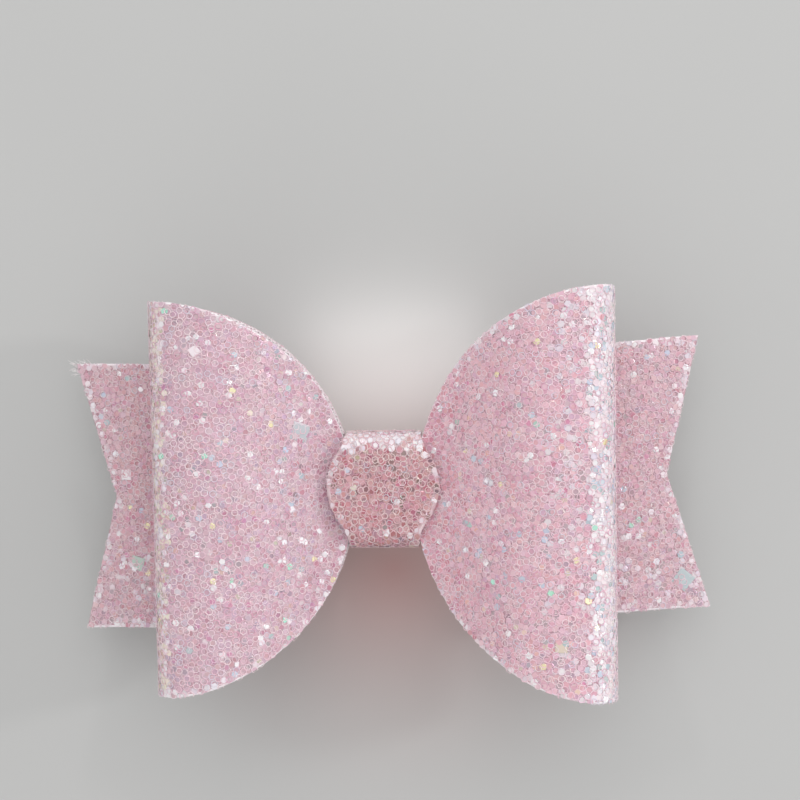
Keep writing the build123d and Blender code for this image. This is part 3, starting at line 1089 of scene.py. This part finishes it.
# Where a strip's flakes take other tones: the tones, then patches of a share and its fades. A fade
# is an axis, the place in millimetres where it begins and the place where it is full.
ON_THE_RIGHT, ON_THE_LEFT = (X, 0.0, 0.001), (X, 0.0, -0.001)
ON_THE_FRONT = (Z, 13.0, 16.0)
ACCENTS = {
    "loop": (
        # The lobes' upper parts are a calmer pink than the rest
        (CALM_TONES, ((0.5, (Y, 6.0, 16.0)),)),
        # Painted shade: deeper pink flakes in the hollows beside the knot, most of all on the right
        (ROSY_SHADE_TONES, ((0.9, (X, 13.5, 6.5), ON_THE_RIGHT), (0.65, (X, -13.5, -6.5), ON_THE_LEFT))),
        (GREY_TONES, ((0.45, (X, 20.5, 26.5), ON_THE_FRONT),)),
        # Painted highlights: pale flakes where the folds catch the light, white on the right fold and
        # warm on the left
        (FOLD_HIGHLIGHT_TONES, ((0.95, (X, 27.4, 28.6), ON_THE_FRONT),)),
        (LEFT_FOLD_HIGHLIGHT_TONES, ((0.95, (X, -28.8, -29.8), ON_THE_FRONT),)),
    ),
    "tail": (
        # Painted shade: deeper pink flakes next to the lobes, most of all on the left
        (ROSY_SHADE_TONES, ((0.65, (X, -40.5, -35.5), ON_THE_LEFT), (0.25, (X, 39.0, 34.0), ON_THE_RIGHT))),
        (GREY_TONES, ((0.5, (Y, -6.0, -14.0)),)),
    ),
    "knot": (
        (SHADED_TONES, ((0.3, (Z, 15.0, 17.0)),)),
        # Painted shade: deeper pink flakes on the knot's lower part
        (ROSY_SHADE_TONES, ((0.45, (Y, NECK_Y - 1, NECK_Y - 5)),)),
        # Painted highlight: the upper bend has pale flakes like the folds
        (BEND_HIGHLIGHT_TONES, ((0.95, (Y, NECK_Y + 4.7, NECK_Y + 6.7), (Z, 13.0, 15.0)),)),
    ),
}


def accent_share(patches, points):
    """Share of the flakes at these points that take an accent's tones."""
    total = np.zeros(len(points))
    for share, *fades in patches:
        for axis, start, end in fades:
            share = share * smooth_step((points[:, axis] - start) / (end - start))
        total += share
    return total


def eased(colour, tint, contrast):
    """A colour brought nearer to the plain pink, then tinted."""
    return tuple((p + contrast * (c - p)) * t for c, p, t in zip(colour, PLAIN_PINK, tint))


def flake_palette(key, tint, contrast):
    """The flakes' materials for one strip: the tones, then the rims, then the bright sparks."""
    made = []
    for name, colour, *_ in FLAKE_TONES + RIM_TONES:
        toned = colour if name in UNTINTED else eased(colour, tint, contrast)
        made.append(flake_material(f"flake_{key}_{name}", toned, 0.3, 0.0, FOIL_FILM))
    for name, colour, film in SPARK_TONES:
        made.append(flake_material(f"flake_{key}_{name}", colour, 0.12, 0.35, film))
    return made


def clear_palette(key, tint, contrast):
    """The clear flakes' materials for one strip, which take a part of its tint."""
    made = []
    part_tint = [1 - CLEAR_TINT_SHARE + CLEAR_TINT_SHARE * part for part in tint]
    for name, colour, _ in CLEAR_TONES:
        toned = eased(colour, part_tint, contrast)
        made.append(flake_material(f"clear_{key}_{name}", toned, 0.25, 0.0, FOIL_FILM))
    return made


def tone_shares(patch):
    """Chances of each tone where patch runs from -1, pink, to 1, grey and pale."""
    shares = np.array([share for _, _, share in FLAKE_TONES], float)
    shares = np.repeat(shares[None, :], len(patch), 0)
    cool = 1 + PATCH_SWING * np.clip(patch, -1, 1)
    for names, factor in ((COOL_PATCH_TONES, cool), (PINK_PATCH_TONES, 2 - cool)):
        for name in names:
            shares[:, TONE_NAMES.index(name)] *= factor
    return shares / shares.sum(1)[:, None]


def scattered(width, height, spacing, tries, rng):
    """Random points on a rectangle, none nearer to another than spacing."""
    cell = spacing / math.sqrt(2)
    taken = {}
    for a, b in rng.uniform(0, 1, (tries, 2)) * (width, height):
        i, j = int(a / cell), int(b / cell)
        around = (taken.get((i + di, j + dj)) for di in range(-2, 3) for dj in range(-2, 3))
        if not any(spot and (spot[0] - a) ** 2 + (spot[1] - b) ** 2 < spacing ** 2 for spot in around):
            taken[i, j] = (a, b)
    return np.array(list(taken.values()))


def spots_on(strip, spacing, rng):
    """Random places on a strip, none nearer to another than spacing, and how far in from its edge."""
    length = strip.path.length
    low_edge, high_edge = strip.limits(np.linspace(0, length, EDGE_SAMPLES))
    base, span = low_edge.min(), high_edge.max() - low_edge.min()
    tries = int(length * span / spacing ** 2 * TRIES_PER_SPOT)
    spots = scattered(length, span, spacing, tries, rng)
    s, across = spots[:, 0], spots[:, 1] + base
    lower, upper = strip.limits(s)
    from_end = np.minimum(s, length - s) - strip.end_cut(across)
    to_edge = np.minimum(np.minimum(across - lower, upper - across), from_end)
    inside = to_edge > FLAKE_MARGIN
    return s[inside], across[inside], to_edge[inside]


def flake_points(strip, shape, sides, profile, trim):
    """Points of the flakes' rings of corners, cut off at trim inside the sheet's edges.

    shape is places along and across, heights, radii, spins, tilts and the tilts' directions, and
    profile the share of the radius and the rise of each ring.
    """
    s, across, height, radius, spin, tilt, tilt_turn = (each[:, None] for each in shape)
    shares = np.repeat([share for share, _ in profile], sides)
    rises = np.repeat([rise for _, rise in profile], sides)
    corner = spin + np.tile(np.arange(sides), len(profile)) * 2 * math.pi / sides
    reach = radius * shares
    at_s = (s + reach * np.cos(corner)).ravel()
    at_across = (across + reach * np.sin(corner)).ravel()
    at_height = (height + reach * np.tan(tilt) * np.cos(corner - tilt_turn) + rises).ravel()
    lower, upper = strip.limits(at_s)
    at_across = np.clip(at_across, lower + trim, upper - trim)
    cut = strip.end_cut(at_across) + trim
    return strip.place(np.clip(at_s, cut, strip.path.length - cut), at_across, at_height)


def flake_piece(name, strip, shape, tone, rim, palette, sides=FLAKE_SIDES):
    """Thin flakes with sloping rims, as one piece whose faces take the palette's materials."""
    points = flake_points(strip, shape, sides, FLAKE_PROFILE, FLAKE_TRIM)
    k = np.arange(sides)[None]
    groups = []
    for faces, slots in (
        (sides + k, tone),
        (k[:, ::-1], tone),
        (wall_faces(2, sides), np.repeat(rim, sides)),
    ):
        groups.append((repeated(faces, len(tone), 2 * sides, strip.flipped), slots, False))
    return new_mesh(name, points, groups, palette, closed=False)


def clear_flakes(name, strip, seed, spacing, keep, palette):
    """The clear flakes over the tinted ones where keep(centres) says so: rings, for bright rims."""
    rng = np.random.default_rng(seed)
    s, across, _ = spots_on(strip, spacing, rng)
    count = len(s)
    height = rng.uniform(CLEAR_LOW, CLEAR_HIGH, count)
    chosen = keep(strip.place(s, across, height))
    shape = (
        s,
        across,
        height,
        FLAKE_RADIUS * rng.uniform(*CLEAR_SIZES, count),
        rng.uniform(0, 2 * math.pi, count),
        np.radians(CLEAR_TILT * np.sqrt(rng.uniform(0, 1, count))),
        rng.uniform(0, 2 * math.pi, count),
    )
    shape = [each[chosen] for each in shape]
    points = flake_points(strip, shape, FLAKE_SIDES, CLEAR_PROFILE, -CLEAR_OVERHANG)
    kept, size = len(shape[0]), FLAKE_SIDES * len(CLEAR_PROFILE)
    ring = wall_faces(len(CLEAR_PROFILE) + 1, FLAKE_SIDES) % size
    slots = rng.choice(len(CLEAR_TONES), kept, p=[share for _, _, share in CLEAR_TONES])
    groups = [(repeated(ring, kept, size, strip.flipped), np.repeat(slots, size), False)]
    return new_mesh(name, points, groups, palette, closed=False)


class Flakes:
    """Every tinted flake of one strip: where it lies, how it is turned and which tone it has."""

    def __init__(self, strip, seed, spark_share, accents, grey_shift):
        rng = np.random.default_rng(seed)
        s, across, to_edge = spots_on(strip, FLAKE_SPACING, rng)
        count = len(s)
        spark = rng.uniform(0, 1, count) < spark_share
        tilt = np.where(
            spark,
            SPARK_TILT * rng.uniform(SPARK_LEAST_TILT, 1, count),
            FLAKE_TILT * np.sqrt(rng.uniform(0, 1, count)),
        )
        self.strip = strip
        self.shape = (
            s,
            across,
            rng.uniform(FLAKE_LOW, FLAKE_HIGH, count),
            FLAKE_RADIUS * rng.uniform(*FLAKE_SIZES, count),
            rng.uniform(0, 2 * math.pi, count),
            np.radians(tilt),
            rng.uniform(0, 2 * math.pi, count),
        )
        self.centres = strip.place(s, across, self.shape[2])
        patch = ripple(s, across, PATCH_SIZE, seed + 5) * PATCH_STRENGTH + grey_shift
        shares = tone_shares(patch).cumsum(1)
        tone = (shares < rng.uniform(0, 1, count)[:, None]).sum(1)
        tone = picked(tone, EDGE_TONES, (to_edge < PALE_EDGE) * PALE_EDGE_SHARE, rng)
        for names, patches in accents:
            tone = picked(tone, names, accent_share(patches, self.centres), rng)
        kind = np.searchsorted(np.cumsum(SPARK_SHARES), rng.uniform(0, 0.999, count))
        self.tone = np.where(spark, np.array(SPARK_SLOTS)[kind], tone)
        self.rim = np.where(rng.uniform(0, 1, count) < BRIGHT_RIMS, RIM_SLOT, RIM_SLOT + 1)

    def piece(self, name, keep, palette):
        """The flakes where keep(centres) says so, as one piece."""
        chosen = keep(self.centres)
        tone = self.tone[chosen]
        rim = np.where(np.isin(tone, PLAIN_RIMMED), tone, self.rim[chosen])
        return flake_piece(name, self.strip, [each[chosen] for each in self.shape], tone, rim, palette)


def picked(tone, names, chance, rng):
    """The tones, with one of the named ones instead where a random draw is under chance."""
    slots = np.array([PALETTE_NAMES.index(name) for name in names])
    drawn = slots[rng.integers(0, len(slots), len(tone))]
    return np.where(rng.uniform(0, 1, len(tone)) < chance, drawn, tone)


def large_flakes(name, strip, spots, palette):
    """The few larger flakes of a strip's front, as one piece."""
    s_line = np.linspace(0, strip.path.length, FRONT_SAMPLES)
    zero = np.zeros_like(s_line)
    levels = strip.path.at(s_line)[0][:, 1]
    front = levels > min(NECK_LEVEL, levels.max() - TAIL_DROOP) - FRONT_SLACK
    front_x = strip.place(s_line, zero, zero)[front, 0]
    s = np.array([s_line[front][np.argmin(np.abs(front_x - x))] for x, _, _, _ in spots])
    across, radius = (np.array([spot[column] for spot in spots], float) for column in (1, 2))
    tones = np.array([TONE_NAMES.index(tone) for _, _, _, tone in spots])
    spin = np.arange(len(spots)) * 0.9 + 0.5
    height = np.full(len(spots), LARGE_FLAKE_HEIGHT)
    tilt = np.full(len(spots), LARGE_FLAKE_TILT)
    shape = (s, across, height, radius, spin, tilt, spin * 2)
    return flake_piece(name, strip, shape, tones, tones, palette, LARGE_FLAKE_SIDES)


# ---- loose threads

def thread_piece(name, lines, radius, material):
    """Thin square threads that narrow towards their ends, as one piece."""
    sides, rows = 4, len(lines[0])
    radii = radius * np.linspace(1, THREAD_TAPER, rows)
    points = np.concatenate([tube_points(line, radii, sides, THREAD_GUIDE) for line in lines])
    k = np.arange(sides)
    caps = np.stack([k[::-1], (rows - 1) * sides + k])
    faces = np.concatenate([wall_faces(rows, sides), caps])
    return new_mesh(name, points, [(repeated(faces, len(lines), rows * sides), 0, True)], [material])


def short_threads(name, strip, count, seed, material, at_ends=False):
    """Short threads that stand out of a strip's long cut edges, or of its two notched ends."""
    rng = np.random.default_rng(seed)
    steps = np.linspace(0, 1, THREAD_STEPS)
    length = strip.path.length
    lines = []
    for index in range(count):
        if at_ends:
            across = rng.uniform(-END_SPREAD, END_SPREAD) * TAIL_HALF_HEIGHT
        else:
            s = rng.uniform(THREAD_MARGIN, length - THREAD_MARGIN)
            side = rng.choice((-1, 1))
        reach, drift, rise = rng.uniform(*THREAD_REACHES)
        height = rng.uniform(*THREAD_HEIGHTS) + rise * steps ** 2
        out = reach * steps - THREAD_ROOT
        aside = drift * steps ** 1.5
        if at_ends:
            across = across + aside
            cut = strip.end_cut(across)
            s = cut - out if index % 2 else length - cut + out
        else:
            lower, upper = strip.limits(np.array([s]))
            across = (lower if side < 0 else upper) + side * out
            s = strip.squeeze(s + aside, across)
        lines.append(strip.place(s, across, height))
    return thread_piece(name, lines, THREAD_RADIUS, material)


def corner_tuft(name, strip, seed, material):
    """The tuft of longer threads at the tail's upper left corner."""
    rng = np.random.default_rng(seed)
    steps = np.linspace(0, 1, TUFT_STEPS)
    lines = []
    for _ in range(TUFT_THREADS):
        start = rng.uniform(*TUFT_PLACES)
        reach, drift, rise = rng.uniform(*TUFT_REACHES)
        curl = rng.uniform(-TUFT_CURL, TUFT_CURL)
        along = start[0] - reach * steps + 0.3 * curl * np.sin(3 * steps)
        across = TAIL_HALF_HEIGHT + start[1] + drift * steps + curl * steps ** 2
        height = rng.uniform(*THREAD_HEIGHTS) + rise * steps ** 2
        lines.append(strip.place(along, across, height))
    return thread_piece(name, lines, TUFT_RADIUS, material)


# ---- clip, ribbon and glue

def spring_line():
    """The spring's centreline: a straight leg, the coil round the hinge pin, a straight leg."""
    turns = COIL_TURNS - (UPPER_LEG_TILT + LEVER_TILT) / 360
    angle = math.radians(UPPER_LEG_TILT) + np.linspace(0, 2 * math.pi * turns, COIL_POINTS)
    rise = COIL_PITCH / (2 * math.pi)
    start_y = NECK_Y - COIL_PITCH * turns / 2
    coil = np.stack([
        HINGE_X + COIL_RADIUS * np.sin(angle),
        start_y + rise * (angle - angle[0]),
        HINGE_Z + COIL_RADIUS * np.cos(angle),
    ], 1)
    heading = np.stack([
        COIL_RADIUS * np.cos(angle), np.full_like(angle, rise), -COIL_RADIUS * np.sin(angle)
    ], 1)
    heading /= np.linalg.norm(heading, axis=1)[:, None]
    steps = SPRING_LEG * np.linspace(0, 1, LEG_POINTS)[1:, None]
    return np.concatenate([
        coil[0] - steps[::-1] * heading[0],
        coil,
        coil[-1] + steps * heading[-1],
    ])


def ribbon_strip():
    """The ribbon round the clip's upper arm, as a path through the middle of its thickness."""
    top = ARM_TOP + RIBBON / 2
    bottom = ARM_BOTTOM - RIBBON / 2
    fold_x = RIBBON_NOSE_X - RIBBON / 2
    corners = [(RIBBON_TAIL_X, top), (fold_x, top), (fold_x, bottom), (RIBBON_RETURN_X, bottom)]

    def edges(points):
        half = np.full(len(points), RIBBON_WIDTH / 2)
        return -half, half

    def warp(points, s, across):
        return points + (0, NECK_Y, 0)

    return Strip(Path(corners, [RIBBON_FOLD_RADIUS] * 2), X, 1, edges, warp, 4)


def ribbon(name, strip, material):
    """Grosgrain: cross ribs on both faces between two firmer selvedges."""
    rows = int(strip.path.length / RIB_PITCH * RIB_STEPS)
    fraction = across_rows(RIBBON_COLUMNS, SELVEDGE_FINE)
    s, f, lower, upper = sheet_grid(strip, rows, fraction)
    ribs = np.cos(2 * math.pi * s / RIB_PITCH)
    inset = SCALLOP + SCALLOP * ribs
    across = np.clip(lower + f * (upper - lower), lower + inset, upper - inset)
    body = smooth_step(np.minimum(f, 1 - f) / SELVEDGE_SHARE)
    half = RIBBON / 2 - RIB_HEIGHT + RIB_HEIGHT * body * ribs
    half = half * (SELVEDGE_FULLNESS + (1 - SELVEDGE_FULLNESS) * body)
    return sheet_mesh(name, strip, s, across, half, -half, (rows, len(fraction)), [material] * 2)


def glue_dab(name, node, seed, material):
    """A squashed dab of hot glue with a wandering outline, where the CAD has a plain one."""
    lowest, highest = (np.array(corner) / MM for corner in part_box(node))
    centre, half = (lowest + highest) / 2, (highest - lowest) / 2
    angle = np.arange(DAB_SIDES) * 2 * math.pi / DAB_SIDES
    across, up = np.cos(angle), np.sin(angle)
    square = np.abs(across) ** DAB_SQUARENESS + np.abs(up) ** DAB_SQUARENESS
    square = square ** (-1 / DAB_SQUARENESS)
    wander = DAB_SIZE + DAB_WANDER * ripple(across * 2, up * 2, DAB_WAVE, seed)
    outline = np.stack([across * half[0], up * half[1]], 1)
    outline = outline * (square * wander)[:, None]
    inset = 1 - half[2] * DAB_SLOPE / np.linalg.norm(outline, axis=1)
    points = []
    for level in np.sin(np.linspace(-math.pi / 2, math.pi / 2, DAB_ROWS)):
        ring = outline * (inset + (1 - inset) * math.sqrt(1 - level ** 2))[:, None]
        points.append(np.column_stack([ring, np.full(DAB_SIDES, half[2] * level)]) + centre)
    made = capped_tube(name, np.concatenate(points), DAB_SIDES, material)
    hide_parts(node)
    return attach(made, "bow")


def dress_clip():
    """Finishes the clip's CAD steel and builds its spring, ribbon and glue."""
    steels = {name: steel_material(name, *look) for name, look in STEELS.items()}
    for name, steel in (
        ("clip_upper_arm", "nickel"),
        ("clip_lower_arm", "nickel"),
        ("clip_hinge_pin", "pin_steel"),
    ):
        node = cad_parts[name]
        node.data.materials.clear()
        node.data.materials.append(steels[steel])
        weld = node.modifiers.new("weld", "WELD")
        weld.merge_threshold = WELD_REACH
        bevel = node.modifiers.new("soft_edges", "BEVEL")
        bevel.width = SOFT_EDGE
        bevel.segments = 2
        bevel.limit_method = "ANGLE"
    line = spring_line()
    radii = np.full(len(line), WIRE_RADIUS)
    points = tube_points(line, radii, WIRE_SIDES, WIRE_GUIDE)
    coil = capped_tube("spring", points, WIRE_SIDES, steels["spring_wire"])
    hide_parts("clip_torsion_spring")
    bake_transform(coil)
    lining = ribbon("ribbon", ribbon_strip(), ribbon_material())
    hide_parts("clip_ribbon_lining")
    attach(lining, "bow")
    glue = glue_material()
    for index, node in enumerate(GLUE_NODES):
        glue_dab(node.replace("_glue", "_hot_glue"), node, FIRST_DAB_SEED + index, glue)


# ---- the three glitter sheets

def everywhere(centres):
    return np.ones(len(centres), bool)


def off_the_neck(centres):
    """Not in the glued stack that the knot hides."""
    x, y, _ = centres.T
    return (np.abs(x) > HIDDEN_HALF_WIDTH) | (np.abs(y - NECK_Y) > HIDDEN_HALF_HEIGHT)


def left_off_the_neck(centres):
    return off_the_neck(centres) & (centres[:, X] < 0)


def right_off_the_neck(centres):
    return off_the_neck(centres) & (centres[:, X] >= 0)


# Each part of a sheet whose flakes have a tint of their own: end of its name, where it is, tint
ZONES = {
    "loop": (("_left", left_off_the_neck, LEFT_LOBE_SHADE_TINT), ("_right", right_off_the_neck, RIGHT_LOBE_LIGHT_TINT)),
    "tail": (("", everywhere, TAIL_TINT),),
    "knot": (("", everywhere, KNOT_SHADE_TINT),),
}
# Where each strip's resin is painted pale as a highlight: the loop's folds and the knot's upper bend
RESIN_HIGHLIGHTS = {
    "loop": ("X", LOBE_HIGHLIGHT_X * MM),
    "tail": (),
    "knot": ("Y", (NECK_Y + KNOT_HIGHLIGHT_RISE) * MM, False),
}


def build_sheet(key, strip, canvas, fray):
    """Builds a strip's plies, flakes and threads on the bow's body."""
    look = SHEETS[key]
    flake_seed, thread_seed, clear_seed = look["seeds"]
    contrast = look["contrast"]
    palettes = [flake_palette(end.strip("_") or key, tint, contrast) for end, _, tint in ZONES[key]]
    clear = clear_palette(key, ZONES[key][-1][2], contrast)
    resin = resin_material(f"{key}_resin", look["resin_colours"], *RESIN_HIGHLIGHTS[key])
    cut_edge = cut_edge_material(f"{key}_cut_edge", look["edge_colours"])
    spread = Flakes(strip, flake_seed, look["sparks"], ACCENTS[key], look["grey_shift"])
    pieces = [
        ply(f"{key}_canvas", strip, -BACKING, CANVAS_TOP, *look["canvas"], (canvas, canvas)),
        ply(f"{key}_resin", strip, 0.0, RESIN, *look["resin"], (resin, cut_edge)),
    ]
    for (end, keep, _), palette in zip(ZONES[key], palettes):
        pieces.append(spread.piece(f"{key}_flakes{end}", keep, palette))
    for end, keep, _ in ZONES[key]:
        name = f"{key}_clear_flakes{end}"
        pieces.append(clear_flakes(name, strip, clear_seed, look["clear_spacing"], keep, clear))
    if key in LARGE_FLAKES:
        pieces.append(large_flakes(f"{key}_large_flakes", strip, LARGE_FLAKES[key], palettes[-1]))
    pieces.append(short_threads(f"{key}_threads", strip, look["threads"], thread_seed, fray))
    if strip.notch:
        name = f"{key}_end_threads"
        pieces.append(short_threads(name, strip, END_THREADS, END_THREAD_SEED, fray, at_ends=True))
        pieces.append(corner_tuft(f"{key}_tuft", strip, TUFT_SEED, fray))
    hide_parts(f"{key}_canvas_backing")
    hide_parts(f"{key}_glitter_face")
    for piece in pieces:
        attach(piece, "bow")


# ---- stage

def area_light(name, place, aim, size, power, colour):
    """A square soft light at a place in metres that faces a point."""
    light = bpy.data.lights.new(name, "AREA")
    light.shape = "SQUARE"
    light.size = size
    light.energy = power
    light.color = colour
    made = bpy.data.objects.new(name, light)
    made.location = place
    made.rotation_euler = (Vector(aim) - Vector(place)).to_track_quat("-Z", "Y").to_euler()
    made.visible_camera = False
    bpy.context.scene.collection.objects.link(made)
    return made


def build_stage():
    """Floor, lights, surroundings and camera."""
    bpy.ops.mesh.primitive_plane_add(size=FLOOR_SIZE, location=(0, 0, 0))
    floor = bpy.context.object
    floor.name = "floor"
    floor.data.materials.append(floor_material())
    bpy.context.scene.world = room_light()
    for name, place, size, power, colour in LIGHTS:
        area_light(name, place, LIGHT_AIM, size, power, colour)
    for name, y, (width, depth), power, colour in BOUNCES:
        bounce = area_light(name, (0, y, BOUNCE_LEVEL), (0, y, 0), width, power, colour)
        bounce.data.shape = "RECTANGLE"
        bounce.data.size_y = depth
        bounce.visible_glossy = False
    data = bpy.data.cameras.new("camera")
    data.lens = CAMERA_LENS
    data.sensor_width = CAMERA_SENSOR
    data.clip_start = CAMERA_CLIP
    camera = bpy.data.objects.new("camera", data)
    camera.location = Vector(CAMERA_PLACE) * MM
    camera.rotation_euler = [math.radians(angle) for angle in CAMERA_TURN]
    bpy.context.scene.collection.objects.link(camera)
    bpy.context.scene.camera = camera
    bpy.context.scene.view_settings.view_transform = "Standard"


build_stage()
CANVAS, FRAY = canvas_material(), fray_material()
for sheet_key, sheet_strip in (("loop", loop_strip()), ("tail", tail_strip()), ("knot", knot_strip())):
    build_sheet(sheet_key, sheet_strip, CANVAS, FRAY)
dress_clip()
